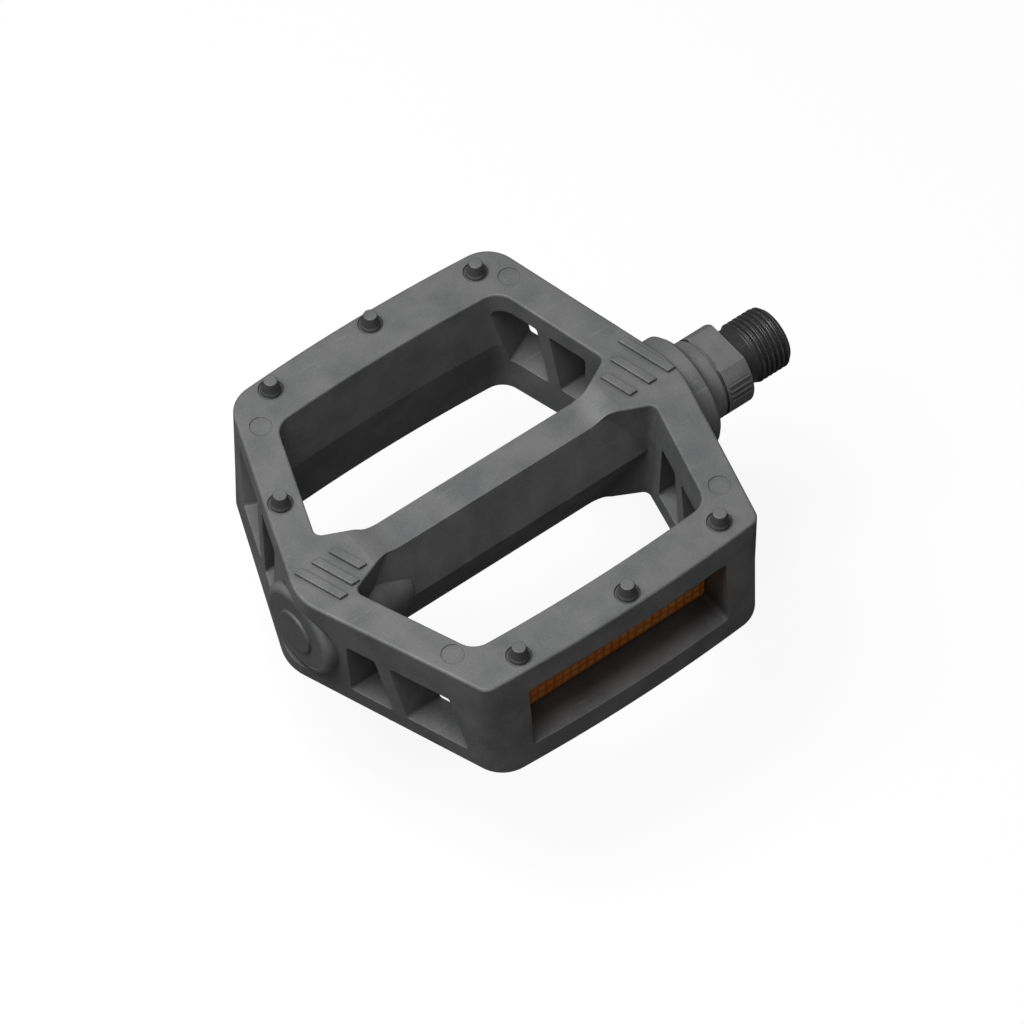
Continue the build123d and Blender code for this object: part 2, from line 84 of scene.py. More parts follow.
# ------------------------------------------------------------------ shader tools
class NodeBench:
    """Adds and links nodes in one node tree."""

    def __init__(self, tree: bpy.types.NodeTree) -> None:
        """Keeps the tree.

        Args:
            tree: Node tree of a material or a group.
        """
        self.tree = tree

    def add(self, kind: str, inputs: dict | None = None, **settings: object) -> bpy.types.Node:
        """Adds a node.

        Args:
            kind: Blender's type name of the node.
            inputs: Socket name or index to a value, or to an output socket to link.
            settings: Properties set on the node.

        Returns:
            The new node.
        """
        node = self.tree.nodes.new(kind)
        for name, value in settings.items():
            setattr(node, name, value)
        for key, value in (inputs or {}).items():
            self.feed(node.inputs[key], value)
        return node

    def feed(self, socket: bpy.types.NodeSocket, value: object) -> None:
        """Links an output to a socket, or sets the socket's own value.

        Args:
            socket: Input socket to feed.
            value: Output socket, number, vector or colour.
        """
        if isinstance(value, bpy.types.NodeSocket):
            self.tree.links.new(value, socket)
        elif socket.type == "RGBA" and len(value) == 3:
            socket.default_value = (*value, 1.0)
        else:
            socket.default_value = value

    def math(self, operation: str, *values: object, clamp: bool = False) -> bpy.types.NodeSocket:
        """Adds a Math node.

        Args:
            operation: Name of the operation.
            values: Numbers or output sockets, in order.
            clamp: Whether the result is held between 0 and 1.

        Returns:
            The result socket.
        """
        node = self.add(
            "ShaderNodeMath", dict(enumerate(values)), operation=operation, use_clamp=clamp
        )
        return node.outputs[0]

    def blend(self, factor: object, first: object, second: object) -> bpy.types.NodeSocket:
        """Mixes two colours.

        Args:
            factor: Share of the second colour.
            first: Colour or socket.
            second: Colour or socket.

        Returns:
            The mixed colour.
        """
        node = self.add("ShaderNodeMix", data_type="RGBA", blend_type="MIX")
        self.feed(node.inputs[0], factor)
        self.feed(node.inputs[6], first)
        self.feed(node.inputs[7], second)
        return node.outputs[2]

    def remap(
        self, value: object, low: float, high: float, to_low: object, to_high: object
    ) -> bpy.types.NodeSocket:
        """Maps a range of values to another, held at its ends.

        Args:
            value: Socket to map.
            low: Start of the range.
            high: End of the range.
            to_low: Result at low.
            to_high: Result at high.

        Returns:
            The mapped value.
        """
        node = self.add("ShaderNodeMapRange", {0: value, 1: low, 2: high, 3: to_low, 4: to_high})
        return node.outputs[0]

    def noise(self, place: object, scale: object, detail: float) -> bpy.types.NodeSocket:
        """Adds a noise texture.

        Args:
            place: Position to sample at.
            scale: Clouds per metre.
            detail: Octaves of finer noise.

        Returns:
            The noise value.
        """
        node = self.add("ShaderNodeTexNoise", {"Vector": place, "Scale": scale, "Detail": detail})
        return node.outputs["Fac"]


class EffectGroups:
    """Shader node groups that several finishes share, each built once."""

    def __init__(self) -> None:
        """Builds every group, and starts with no finish made."""
        self.made: dict[str, bpy.types.Material] = {}
        self.mottle = self._mottle()
        self.edges = self._edges()
        self.grain = self._grain()
        self.scuffs = self._scuffs()
        self.crevice_shade = self._crevice_shade()

    @staticmethod
    def _group(
        name: str, inputs: dict[str, float], outputs: dict[str, str]
    ) -> tuple[bpy.types.NodeTree, NodeBench, bpy.types.Node, bpy.types.Node]:
        """Starts a group.

        Args:
            name: Name of the group.
            inputs: Float input names and their defaults.
            outputs: Output names and their socket types.

        Returns:
            The tree, its bench, its input node and its output node.
        """
        tree = bpy.data.node_groups.new(name, "ShaderNodeTree")
        for label, default in inputs.items():
            socket = tree.interface.new_socket(label, in_out="INPUT", socket_type="NodeSocketFloat")
            socket.default_value = default
        for label, kind in outputs.items():
            tree.interface.new_socket(label, in_out="OUTPUT", socket_type=kind)
        bench = NodeBench(tree)
        return tree, bench, bench.add("NodeGroupInput"), bench.add("NodeGroupOutput")

    def _mottle(self) -> bpy.types.NodeTree:
        """Cloudy tone variation of a moulded or forged skin.

        Returns:
            A group that puts out a value from 0 to 1.
        """
        tree, bench, start, end = self._group(
            "cloudy_mottle",
            {"Cloud Size": 0.009, "Speck Size": 0.0009, "Speck Share": 0.35},
            {"Value": "NodeSocketFloat"},
        )
        place = bench.add("ShaderNodeTexCoord").outputs["Object"]
        cloud_scale = bench.math("DIVIDE", 1.0, start.outputs["Cloud Size"])
        speck_scale = bench.math("DIVIDE", 1.0, start.outputs["Speck Size"])
        cloud = bench.remap(bench.noise(place, cloud_scale, 4.0), 0.36, 0.64, 0.0, 1.0)
        speck = bench.remap(bench.noise(place, speck_scale, 2.0), 0.3, 0.7, 0.0, 1.0)
        mix = bench.add("ShaderNodeMix", data_type="FLOAT")
        bench.feed(mix.inputs[0], start.outputs["Speck Share"])
        bench.feed(mix.inputs[2], cloud)
        bench.feed(mix.inputs[3], speck)
        bench.feed(end.inputs["Value"], mix.outputs[0])
        return tree

    def _edges(self) -> bpy.types.NodeTree:
        """Softened edges: their rounded normal, and a broken-up mask of where they are.

        Returns:
            A group that puts out a mask and a normal.
        """
        tree, bench, start, end = self._group(
            "soft_edges", {"Radius": 0.0004, "Breakup Size": 0.002},
            {"Mask": "NodeSocketFloat", "Normal": "NodeSocketVector"},
        )
        bevel = bench.add(
            "ShaderNodeBevel", {"Radius": start.outputs["Radius"]}, samples=SHADER_SAMPLES
        )
        true_normal = bench.add("ShaderNodeNewGeometry").outputs["Normal"]
        dot = bench.add(
            "ShaderNodeVectorMath", {0: bevel.outputs[0], 1: true_normal}, operation="DOT_PRODUCT"
        )
        near = bench.remap(dot.outputs["Value"], 0.995, 0.8, 0.0, 1.0)
        place = bench.add("ShaderNodeTexCoord").outputs["Object"]
        scale = bench.math("DIVIDE", 1.0, start.outputs["Breakup Size"])
        broken = bench.remap(bench.noise(place, scale, 3.0), 0.35, 0.6, 0.25, 1.0)
        bench.feed(end.inputs["Mask"], bench.math("MULTIPLY", near, broken))
        bench.feed(end.inputs["Normal"], bevel.outputs[0])
        return tree

    def _grain(self) -> bpy.types.NodeTree:
        """Fine surface grain as a height from 0 to 1.

        Returns:
            A group that puts out a height.
        """
        tree, bench, start, end = self._group(
            "fine_grain", {"Grain Size": 0.0004, "Pit Share": 0.3}, {"Height": "NodeSocketFloat"},
        )
        place = bench.add("ShaderNodeTexCoord").outputs["Object"]
        scale = bench.math("DIVIDE", 1.0, start.outputs["Grain Size"])
        noise = bench.noise(place, scale, 3.0)
        pit_scale = bench.math("MULTIPLY", scale, 0.7)
        pits = bench.add("ShaderNodeTexVoronoi", {"Vector": place, "Scale": pit_scale})
        pit_depth = bench.remap(pits.outputs["Distance"], 0.0, 0.35, 0.0, 1.0)
        mix = bench.add("ShaderNodeMix", data_type="FLOAT")
        bench.feed(mix.inputs[0], start.outputs["Pit Share"])
        bench.feed(mix.inputs[2], noise)
        bench.feed(mix.inputs[3], pit_depth)
        bench.feed(end.inputs["Height"], mix.outputs[0])
        return tree

    def _scuffs(self) -> bpy.types.NodeTree:
        """Faint long rub marks.

        Returns:
            A group that puts out a mask.
        """
        tree, bench, start, end = self._group(
            "rub_marks", {"Mark Width": 0.0006, "Amount": 0.4}, {"Mask": "NodeSocketFloat"},
        )
        place = bench.add("ShaderNodeTexCoord").outputs["Object"]
        turned = bench.add("ShaderNodeMapping", {
            "Vector": place, "Rotation": (0.2, 0.1, 0.9), "Scale": (1.0, 0.09, 1.0),
        })
        scale = bench.math("DIVIDE", 1.0, start.outputs["Mark Width"])
        thin = bench.remap(bench.noise(turned.outputs[0], scale, 2.0), 0.62, 0.74, 0.0, 1.0)
        where = bench.remap(bench.noise(place, 90.0, 2.0), 0.45, 0.65, 0.0, 1.0)
        both = bench.math("MULTIPLY", thin, where)
        bench.feed(end.inputs["Mask"], bench.math("MULTIPLY", both, start.outputs["Amount"]))
        return tree

    def _crevice_shade(self) -> bpy.types.NodeTree:
        """Painted shade that darkens grooves and deep pockets, found by ambient occlusion.

        Returns:
            A group that puts out a mask.
        """
        tree, bench, start, end = self._group(
            "painted_crevice_shade",
            {"Groove Reach": 0.0012, "Pocket Reach": 0.009, "Pocket Share": 0.85},
            {"Mask": "NodeSocketFloat"},
        )
        near, far = (
            bench.add(
                "ShaderNodeAmbientOcclusion", {"Distance": start.outputs[reach]},
                samples=SHADER_SAMPLES,
            )
            for reach in ("Groove Reach", "Pocket Reach")
        )
        groove = bench.remap(near.outputs["AO"], 0.9, 0.45, 0.0, 1.0)
        pocket = bench.remap(far.outputs["AO"], 0.72, 0.32, 0.0, 1.0)
        shared = bench.math("MULTIPLY", pocket, start.outputs["Pocket Share"])
        bench.feed(end.inputs["Mask"], bench.math("MAXIMUM", groove, shared))
        return tree


class Finish:
    """A material that is made once, on first use."""

    slot: str
    name: str

    def material(self, groups: EffectGroups) -> bpy.types.Material:
        """The finished material.

        Args:
            groups: Shared node groups.

        Returns:
            The material, built on first use.
        """
        if self.name in groups.made:
            return groups.made[self.name]
        made = bpy.data.materials.new(self.name)
        groups.made[self.name] = made
        made.use_nodes = True
        made.node_tree.nodes.clear()
        bench = NodeBench(made.node_tree)
        surface = self.surface(bench, groups)
        bench.add("ShaderNodeOutputMaterial", {"Surface": surface})
        return made

    def surface(self, bench: NodeBench, groups: EffectGroups) -> bpy.types.NodeSocket:
        """Builds the shader; each finish has its own.

        Args:
            bench: Bench of the material's tree.
            groups: Shared node groups.

        Returns:
            The shader socket.
        """
        raise NotImplementedError


def place_group(
    bench: NodeBench, tree: bpy.types.NodeTree, values: dict[str, float]
) -> bpy.types.Node:
    """Places a shared group in a material.

    Args:
        bench: Bench of the material's tree.
        tree: The group.
        values: Input names and their values.

    Returns:
        The group node.
    """
    node = bench.tree.nodes.new("ShaderNodeGroup")
    node.node_tree = tree
    for label, value in values.items():
        node.inputs[label].default_value = value
    return node


@dataclass(frozen=True)
class GrainedSkin(Finish):
    """Opaque skin with mottle, grain, painted highlights on its softened edges and faint rub marks.
    """

    name: str
    slot: str
    dark: Colour
    light: Colour
    # Colour of the rub marks, and of the painted highlight on softened edges.
    wear_and_highlight: Colour
    roughness: tuple[float, float] = (0.5, 0.62)
    metallic: float = 0.0
    specular: float = 0.5
    cloud_size: float = 9 * MM
    speck_size: float = 0.7 * MM
    speck_share: float = 0.45
    grain_size: float = 0.35 * MM
    grain_depth: float = 0.03 * MM
    edge_radius: float = 0.3 * MM
    edge_highlight_share: float = 0.5
    edge_polish: float = 0.12
    mark_amount: float = 0.35
    # Near-black colour of the painted crevice shade, and how strongly it is laid on.
    crevice_shade_colour: Colour = (0.018, 0.018, 0.019)
    crevice_shade_share: float = 0.0

    def skin_colour(
        self, bench: NodeBench, groups: EffectGroups, colour: bpy.types.NodeSocket
    ) -> bpy.types.NodeSocket:
        """Last word on the colour; a plain skin only adds painted shade in its crevices.

        Args:
            bench: Bench of the material's tree.
            groups: Shared node groups.
            colour: Colour so far.

        Returns:
            The finished colour.
        """
        if not self.crevice_shade_share:
            return colour
        # Painted shade: ambient occlusion darkens grooves and pockets toward the near-black shade
        # colour.
        mask = place_group(bench, groups.crevice_shade, {}).outputs["Mask"]
        return bench.blend(bench.math("MULTIPLY", mask, self.crevice_shade_share), colour, self.crevice_shade_colour)

    def surface(self, bench: NodeBench, groups: EffectGroups) -> bpy.types.NodeSocket:
        """Builds the skin's shader.

        Args:
            bench: Bench of the material's tree.
            groups: Shared node groups.

        Returns:
            The shader socket.
        """
        mottle = place_group(bench, groups.mottle, {
            "Cloud Size": self.cloud_size,
            "Speck Size": self.speck_size,
            "Speck Share": self.speck_share,
        }).outputs["Value"]
        edges = place_group(bench, groups.edges, {"Radius": self.edge_radius})
        grain = place_group(bench, groups.grain, {"Grain Size": self.grain_size}).outputs["Height"]
        marks = place_group(bench, groups.scuffs, {"Amount": self.mark_amount}).outputs["Mask"]
        colour = bench.blend(mottle, self.dark, self.light)
        # Painted highlight: softened edges are lightened toward the colour that the rub marks
        # share.
        edge_highlight = bench.math("MULTIPLY", edges.outputs["Mask"], self.edge_highlight_share)
        colour = bench.blend(bench.math("MAXIMUM", edge_highlight, marks), colour, self.wear_and_highlight)
        colour = self.skin_colour(bench, groups, colour)
        rough = bench.remap(mottle, 0.0, 1.0, self.roughness[1], self.roughness[0])
        polish = bench.math("MULTIPLY", edge_highlight, self.edge_polish)
        rough = bench.math("SUBTRACT", rough, polish, clamp=True)
        bump = bench.add("ShaderNodeBump", {
            "Strength": 1.0,
            "Distance": self.grain_depth,
            "Height": grain,
            "Normal": edges.outputs["Normal"],
        })
        shader = bench.add("ShaderNodeBsdfPrincipled", {
            "Base Color": colour, "Roughness": rough, "Metallic": self.metallic,
            "Specular IOR Level": self.specular, "Normal": bump.outputs[0],
        })
        return shader.outputs[0]


@dataclass(frozen=True)
class PinnedSkin(GrainedSkin):
    """Platform skin with painted shade on the flanks of its moulded pins."""

    pin_foot: float = 15.05 * MM
    fillet_height: float = 0.6 * MM
    # Dark colour of the painted shade on the pin flanks, and how strongly it is laid on.
    flank: Colour = (0.03, 0.03, 0.032)
    flank_share: float = 0.8

    def skin_colour(
        self, bench: NodeBench, groups: EffectGroups, colour: bpy.types.NodeSocket
    ) -> bpy.types.NodeSocket:
        """Paints shade on what stands above a tread face and doesn't look straight up or down.

        Args:
            bench: Bench of the material's tree.
            groups: Shared node groups.
            colour: Colour so far.

        Returns:
            The finished colour.
        """
        place = bench.add("ShaderNodeTexCoord")
        where = bench.add("ShaderNodeSeparateXYZ", {0: place.outputs["Object"]})
        facing = bench.add("ShaderNodeSeparateXYZ", {0: place.outputs["Normal"]})
        height = bench.math("ABSOLUTE", where.outputs["Z"])
        above = bench.math("GREATER_THAN", height, self.pin_foot + self.fillet_height)
        upright = bench.remap(bench.math("ABSOLUTE", facing.outputs["Z"]), 0.7, 0.9, 1.0, 0.0)
        # Painted shade: pin flanks are blended toward the dark flank colour.
        mask = bench.math("MULTIPLY", bench.math("MULTIPLY", above, upright), self.flank_share)
        return super().skin_colour(bench, groups, bench.blend(mask, colour, self.flank))


@dataclass(frozen=True)
class AmberMoulding(Finish):
    """Amber plastic with painted shade along the lattice of its prism back."""

    name: str
    slot: str
    tint: Colour
    deep: Colour
    shade: Colour = (0.3, 0.045, 0.01)
    cell: float = PRISM_PITCH
    border_share: float = 0.3
    lattice_shade_share: float = 0.6
    cloud_size: float = 6 * MM
    speck_share: float = 0.15
    ripple_size: float = 1.5 * MM
    ripple_depth: float = 0.02 * MM
    ripple_strength: float = 0.6
    roughness: float = 0.12
    roughness_spread: float = 0.08
    transmission: float = 0.3
    refraction: float = 1.49

    def surface(self, bench: NodeBench, groups: EffectGroups) -> bpy.types.NodeSocket:
        """Builds the lens shader.

        Args:
            bench: Bench of the material's tree.
            groups: Shared node groups.

        Returns:
            The shader socket.
        """
        mottle = place_group(bench, groups.mottle, {
            "Cloud Size": self.cloud_size, "Speck Share": self.speck_share,
        }).outputs["Value"]
        ripple = place_group(bench, groups.grain, {
            "Grain Size": self.ripple_size, "Pit Share": 0.0,
        }).outputs["Height"]
        bump = bench.add("ShaderNodeBump", {
            "Strength": self.ripple_strength, "Distance": self.ripple_depth, "Height": ripple,
        })
        place = bench.add("ShaderNodeTexCoord").outputs["Object"]
        where = bench.add("ShaderNodeSeparateXYZ", {0: place})
        across, up = (
            bench.math("PINGPONG", where.outputs[axis], self.cell / 2) for axis in ("Y", "Z")
        )
        border = bench.math("MINIMUM", across, up)
        # Painted shade: the prism borders are darkened toward the shade colour.
        lattice_shade = bench.remap(border, 0.0, self.border_share * self.cell, self.lattice_shade_share, 0.0)
        rough = bench.remap(
            mottle, 0.0, 1.0, self.roughness + self.roughness_spread, self.roughness
        )
        colour = bench.blend(lattice_shade, bench.blend(mottle, self.deep, self.tint), self.shade)
        shader = bench.add("ShaderNodeBsdfPrincipled", {
            "Base Color": colour,
            "Roughness": rough,
            "Transmission Weight": self.transmission,
            "IOR": self.refraction,
            "Normal": bump.outputs[0],
        })
        return shader.outputs[0]


@dataclass(frozen=True)
class StudioSurface(Finish):
    """Pale stage floor, bright to the eye and dimmer to the light it throws back."""

    name: str
    slot: str = ""
    pale: Colour = (0.9, 0.9, 0.9)
    thrown: Colour = (0.12, 0.12, 0.12)
    glow: float = 1.0
    glow_share: float = 0.9
    cloud_size: float = 90 * MM
    cloud_share: float = 0.02
    speck_share: float = 0.05

    def surface(self, bench: NodeBench, groups: EffectGroups) -> bpy.types.NodeSocket:
        """Builds the floor shader.

        Args:
            bench: Bench of the material's tree.
            groups: Shared node groups.

        Returns:
            The shader socket.
        """
        mottle = place_group(bench, groups.mottle, {
            "Cloud Size": self.cloud_size, "Speck Share": self.speck_share,
        }).outputs["Value"]
        cloud = bench.math("MULTIPLY", mottle, self.cloud_share)
        tone = bench.blend(cloud, self.pale, self.thrown)
        seen = bench.add("ShaderNodeBsdfDiffuse", {"Color": tone})
        lit = bench.add("ShaderNodeEmission", {"Color": (1.0, 1.0, 1.0), "Strength": self.glow})
        unseen = bench.add("ShaderNodeBsdfDiffuse", {"Color": self.thrown})
        bright = bench.add("ShaderNodeMixShader", {
            0: self.glow_share, 1: seen.outputs[0], 2: lit.outputs[0],
        })
        eye = bench.add("ShaderNodeLightPath").outputs["Is Camera Ray"]
        shader = bench.add("ShaderNodeMixShader", {
            0: eye, 1: unseen.outputs[0], 2: bright.outputs[0],
        })
        return shader.outputs[0]


# The platform skin carries painted crevice shade, painted shade on its pin flanks and painted edge
# highlights.
PLATFORM_SKIN = PinnedSkin(
    "platform_skin", "platform_plastic",
    dark=(0.082, 0.084, 0.086), light=(0.138, 0.138, 0.137), wear_and_highlight=(0.22, 0.22, 0.218),
    roughness=(0.46, 0.66), cloud_size=8 * MM, speck_size=0.45 * MM, speck_share=0.36,
    grain_depth=0.05 * MM, crevice_shade_share=0.85,
)
# Painted shade: the thread is a darker copy of the spindle steel, and its high edge share paints
# highlights on the crests.
THREAD_SHADED_SKIN = GrainedSkin(
    "thread_shaded_skin", "spindle_steel",
    dark=(0.026, 0.027, 0.028), light=(0.05, 0.05, 0.052), wear_and_highlight=(0.3, 0.3, 0.3),
    roughness=(0.3, 0.45), metallic=0.3, cloud_size=4 * MM, speck_size=0.4 * MM,
    grain_size=0.22 * MM, grain_depth=0.01 * MM, edge_radius=0.2 * MM, edge_highlight_share=0.9,
    crevice_shade_share=0.5,
)
CAP_SKIN = GrainedSkin(
    "cap_skin", "cap_plastic",
    dark=(0.075, 0.076, 0.078), light=(0.1, 0.1, 0.101), wear_and_highlight=(0.14, 0.14, 0.14),
    roughness=(0.42, 0.55),
)
SEAL_SKIN = GrainedSkin(
    "seal_skin", "seal_rubber",
    dark=(0.022, 0.022, 0.023), light=(0.034, 0.034, 0.035), wear_and_highlight=(0.06, 0.06, 0.06),
    roughness=(0.6, 0.75), specular=0.35,
)
SPINDLE_SKIN = GrainedSkin(
    "spindle_skin", "spindle_steel",
    dark=(0.12, 0.12, 0.122), light=(0.185, 0.185, 0.185), wear_and_highlight=(0.34, 0.34, 0.33),
    roughness=(0.36, 0.52), metallic=0.25, cloud_size=4 * MM, speck_size=0.4 * MM,
    grain_size=0.22 * MM, grain_depth=0.018 * MM, edge_radius=0.18 * MM, edge_highlight_share=0.55,
    crevice_shade_share=0.85,
)
RACE_STEEL = GrainedSkin(
    "race_skin", "bearing_steel",
    dark=(0.36, 0.36, 0.37), light=(0.5, 0.5, 0.5), wear_and_highlight=(0.7, 0.7, 0.7),
    roughness=(0.22, 0.34), metallic=1.0, grain_depth=0.006 * MM, edge_radius=0.1 * MM,
    mark_amount=0.2,
)
BALL_STEEL = GrainedSkin(
    "ball_skin", "ball_steel",
    dark=(0.62, 0.62, 0.63), light=(0.72, 0.72, 0.73), wear_and_highlight=(0.8, 0.8, 0.8),
    roughness=(0.05, 0.1), metallic=1.0, grain_depth=0.001 * MM, edge_radius=0.05 * MM,
    edge_highlight_share=0.0, mark_amount=0.1,
)
ZINC_STEEL = GrainedSkin(
    "zinc_skin", "plated_steel",
    dark=(0.42, 0.42, 0.41), light=(0.6, 0.6, 0.58), wear_and_highlight=(0.75, 0.75, 0.73),
    roughness=(0.25, 0.4), metallic=1.0, grain_depth=0.008 * MM, edge_radius=0.15 * MM,
)
BACKING_SKIN = GrainedSkin(
    "backing_skin", "backing_plastic",
    dark=(0.66, 0.63, 0.58), light=(0.76, 0.73, 0.68), wear_and_highlight=(0.8, 0.8, 0.78),
    roughness=(0.3, 0.45), grain_depth=0.01 * MM, mark_amount=0.1,
)
AMBER = AmberMoulding(
    "amber_moulding", "amber_lens", tint=(1.0, 0.42, 0.08), deep=(0.95, 0.22, 0.035),
)


# ------------------------------------------------------------------ mesh tools
def object_from(
    shape: bmesh.types.BMesh, name: str, smooth_angle: float = 30.0
) -> bpy.types.Object:
    """Turns a bmesh into a scene object with smooth faces and sharp creases.

    Args:
        shape: Finished bmesh; it is freed.
        name: Name of the object.
        smooth_angle: Edges sharper than this many degrees stay sharp.

    Returns:
        The new object.
    """
    bmesh.ops.recalc_face_normals(shape, faces=shape.faces)
    limit = math.radians(smooth_angle)
    for edge in shape.edges:
        faces = edge.link_faces
        edge.smooth = len(faces) == 2 and faces[0].normal.angle(faces[1].normal, 0.0) < limit
    for face in shape.faces:
        face.smooth = True
    mesh = bpy.data.meshes.new(name)
    shape.to_mesh(mesh)
    shape.free()
    made = bpy.data.objects.new(name, mesh)
    bpy.context.scene.collection.objects.link(made)
    return made


def dress(piece: bpy.types.Object, finish: Finish, groups: EffectGroups) -> None:
    """Gives a piece one finish on all its faces.

    Args:
        piece: Mesh object, a CAD node included.
        finish: The finish.
        groups: Shared node groups.
    """
    material = finish.material(groups)
    if not piece.material_slots:
        piece.data.materials.append(material)
    for holder in piece.material_slots:
        holder.link = "OBJECT"
        holder.material = material


class SubAssembly:
    """A group of pieces that is built and dressed together."""

    def build(self, groups: EffectGroups) -> list[str]:
        """Builds and dresses the pieces.

        Args:
            groups: Shared node groups.

        Returns:
            Names of the pieces, for the log.
        """
        raise NotImplementedError

    @staticmethod
    def dress_nodes(finishes: dict[str, Finish], groups: EffectGroups) -> list[str]:
        """Dresses CAD nodes that keep their own shape.

        Args:
            finishes: Node name to finish.
            groups: Shared node groups.

        Returns:
            The node names.
        """
        for name, finish in finishes.items():
            dress(frame["nodes"][name], finish, groups)
        return list(finishes)


# ------------------------------------------------------------------ sub-assemblies
@dataclass
class Platform(SubAssembly):
    """Moulded platform, its end cap and its dust seal."""

    def build(self, groups: EffectGroups) -> list[str]:
        """Dresses the platform's nodes.

        Args:
            groups: Shared node groups.

        Returns:
            Names of the pieces.
        """
        return self.dress_nodes(
            {"platform_body": PLATFORM_SKIN, "end_cap": CAP_SKIN, "dust_seal": SEAL_SKIN}, groups
        )


@dataclass
class Bearings(SubAssembly):
    """Both ball bearings and the hardware that sets them."""

    def build(self, groups: EffectGroups) -> list[str]:
        """Dresses the bearing nodes.

        Args:
            groups: Shared node groups.

        Returns:
            Names of the pieces.
        """
        return self.dress_nodes(
            {
                "inner_bearing_cup": RACE_STEEL, "outer_bearing_cup": RACE_STEEL,
                "inner_bearing_balls": BALL_STEEL, "outer_bearing_balls": BALL_STEEL,
                "adjusting_cone": RACE_STEEL, "lock_washer": ZINC_STEEL, "lock_nut": ZINC_STEEL,
            },
            groups,
        )


@dataclass
class Spindle(SubAssembly):
    """Forged spindle with a real helical crank thread."""

    pitch: float = 1.27 * MM
    thread_depth: float = 0.72 * MM
    neck_length: float = 3.4 * MM
    neck_depth: float = 0.55 * MM
    neck_slope: float = 0.5 * MM
    end_chamfer: float = 0.9 * MM
    hand: Hand = Hand.LEFT
    around: int = 144
    rows_per_turn: int = 14
    root_share: float = 0.12
    flank_share: float = 0.68
    weld_distance: float = 0.001 * MM
    cut_offset: float = 0.005 * MM
    thread_crease: float = 40.0
    shank_crease: float = 25.0

    def radius_at(self, y: float, turn: float, major: float, length: float) -> float:
        """Radius of the threaded end.

        Args:
            y: Distance from the shoulder.
            turn: Share of a turn round the axis.
            major: Major radius.
            length: Length of the threaded end.

        Returns:
            The radius there.
        """
        neck = major - self.neck_depth
        phase = (y / self.pitch - self.hand.value * turn) % 1.0
        flank = abs(2 * phase - 1)
        ridge = min(1.0, max(0.0, (flank - self.root_share) / self.flank_share))
        cut = major - self.thread_depth * (1 - ridge)
        entry = min(1.0, max(0.0, (y - self.neck_length) / self.neck_slope))
        radius = neck + (cut - neck) * entry
        return min(radius, major - max(0.0, y - (length - self.end_chamfer)))

    def thread(self) -> bmesh.types.BMesh:
        """Closed mesh of the neck and thread, from the shoulder to the tip.

        Returns:
            The new bmesh.
        """
        _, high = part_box("spindle")
        length = high[1]
        major = frame["record"]["mounts"][0]["dims"]["r_mm"] * MM
        rows = round(length / self.pitch * self.rows_per_turn)
        shape = bmesh.new()
        rings = []
        for row in range(rows + 1):
            y = length * row / rows
            ring = []
            for step in range(self.around):
                turn = step / self.around
                radius = self.radius_at(y, turn, major, length)
                angle = 2 * math.pi * turn
                x, z = radius * math.sin(angle), radius * math.cos(angle)
                ring.append(shape.verts.new((x, y, z)))
            rings.append(ring)
        for lower, upper in zip(rings, rings[1:]):
            for step in range(self.around):
                after = (step + 1) % self.around
                shape.faces.new((lower[step], lower[after], upper[after], upper[step]))
        shape.faces.new(rings[0])
        shape.faces.new(rings[-1])
        return shape

    def shank(self) -> bmesh.types.BMesh:
        """The rest of the spindle, from its frame node, cut off square at the shoulder.

        Returns:
            The new bmesh.
        """
        shape = bmesh.new()
        shape.from_mesh(frame["nodes"]["spindle"].data)
        bmesh.ops.remove_doubles(shape, verts=shape.verts, dist=self.weld_distance)
        everything = shape.verts[:] + shape.edges[:] + shape.faces[:]
        bmesh.ops.bisect_plane(
            shape, geom=everything, plane_co=(0, self.cut_offset, 0), plane_no=(0, 1, 0),
            clear_outer=True,
        )
        bmesh.ops.holes_fill(shape, edges=[edge for edge in shape.edges if edge.is_boundary])
        return shape

    def build(self, groups: EffectGroups) -> list[str]:
        """Builds the spindle's two stretches and dresses them.

        Args:
            groups: Shared node groups.

        Returns:
            Names of the pieces.
        """
        thread = object_from(self.thread(), "spindle_crank_thread", self.thread_crease)
        shank = object_from(self.shank(), "spindle_shank", self.shank_crease)
        for piece, finish in ((thread, THREAD_SHADED_SKIN), (shank, SPINDLE_SKIN)):
            dress(piece, finish, groups)
            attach(piece, Body.AXLE.value)
            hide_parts("spindle")
        return [thread.name, shank.name]


